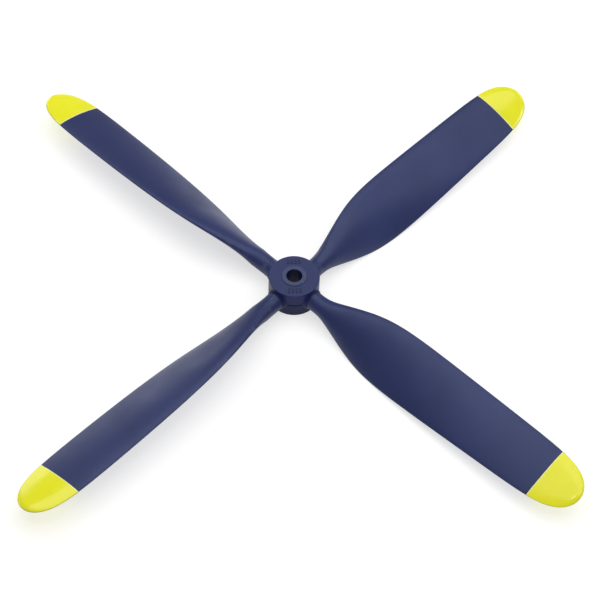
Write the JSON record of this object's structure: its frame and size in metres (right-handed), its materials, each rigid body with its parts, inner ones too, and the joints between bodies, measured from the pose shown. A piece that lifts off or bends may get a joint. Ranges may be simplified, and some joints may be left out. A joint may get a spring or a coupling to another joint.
{
  "type": "model aircraft propeller",
  "caption": "Multi-bladed moulded plastic propeller for a model aircraft, with painted tips and blades whose pitch is set in a split clamp hub.",
  "frame": {"origin": "on the shaft axis, in the plane of the hub's rear face", "axes": "+Z along the shaft towards the front of the aircraft; the blades point along +X, +Y, -X and -Y"},
  "size_m": [0.267, 0.267, 0.0136],
  "materials": {
    "hub_plastic": "satin dark blue-grey moulded plastic",
    "blade_plastic": "satin dark blue-grey moulded plastic",
    "tip_paint": "glossy lemon yellow paint film",
    "screw_steel": "black oxide",
    "insert_brass": "plain"
  },
  "bodies": {
    "hub": {"hub_front": "hub_plastic", "hub_rear": "hub_plastic", "clamp_screw_1": "screw_steel", "clamp_screw_2": "screw_steel", "clamp_screw_3": "screw_steel", "clamp_screw_4": "screw_steel", "thread_insert_1": "insert_brass", "thread_insert_2": "insert_brass", "thread_insert_3": "insert_brass", "thread_insert_4": "insert_brass"},
    "blade_1": {"blade_1": "blade_plastic", "tip_coat_1": "tip_paint"},
    "blade_2": {"blade_2": "blade_plastic", "tip_coat_2": "tip_paint"},
    "blade_3": {"blade_3": "blade_plastic", "tip_coat_3": "tip_paint"},
    "blade_4": {"blade_4": "blade_plastic", "tip_coat_4": "tip_paint"}
  },
  "joints": [
    {"name": "blade_1_pitch", "type": "hinge", "parent": "hub", "child": "blade_1", "pos_m": [0, 0, 0.006], "axis": [1, 0, 0], "range_deg": [-8, 8]},
    {"name": "blade_2_pitch", "type": "hinge", "parent": "hub", "child": "blade_2", "pos_m": [0, 0, 0.006], "axis": [0, 1, 0], "range_deg": [-8, 8]},
    {"name": "blade_3_pitch", "type": "hinge", "parent": "hub", "child": "blade_3", "pos_m": [0, 0, 0.006], "axis": [-1, 0, 0], "range_deg": [-8, 8]},
    {"name": "blade_4_pitch", "type": "hinge", "parent": "hub", "child": "blade_4", "pos_m": [0, 0, 0.006], "axis": [0, -1, 0], "range_deg": [-8, 8]}
  ]
}
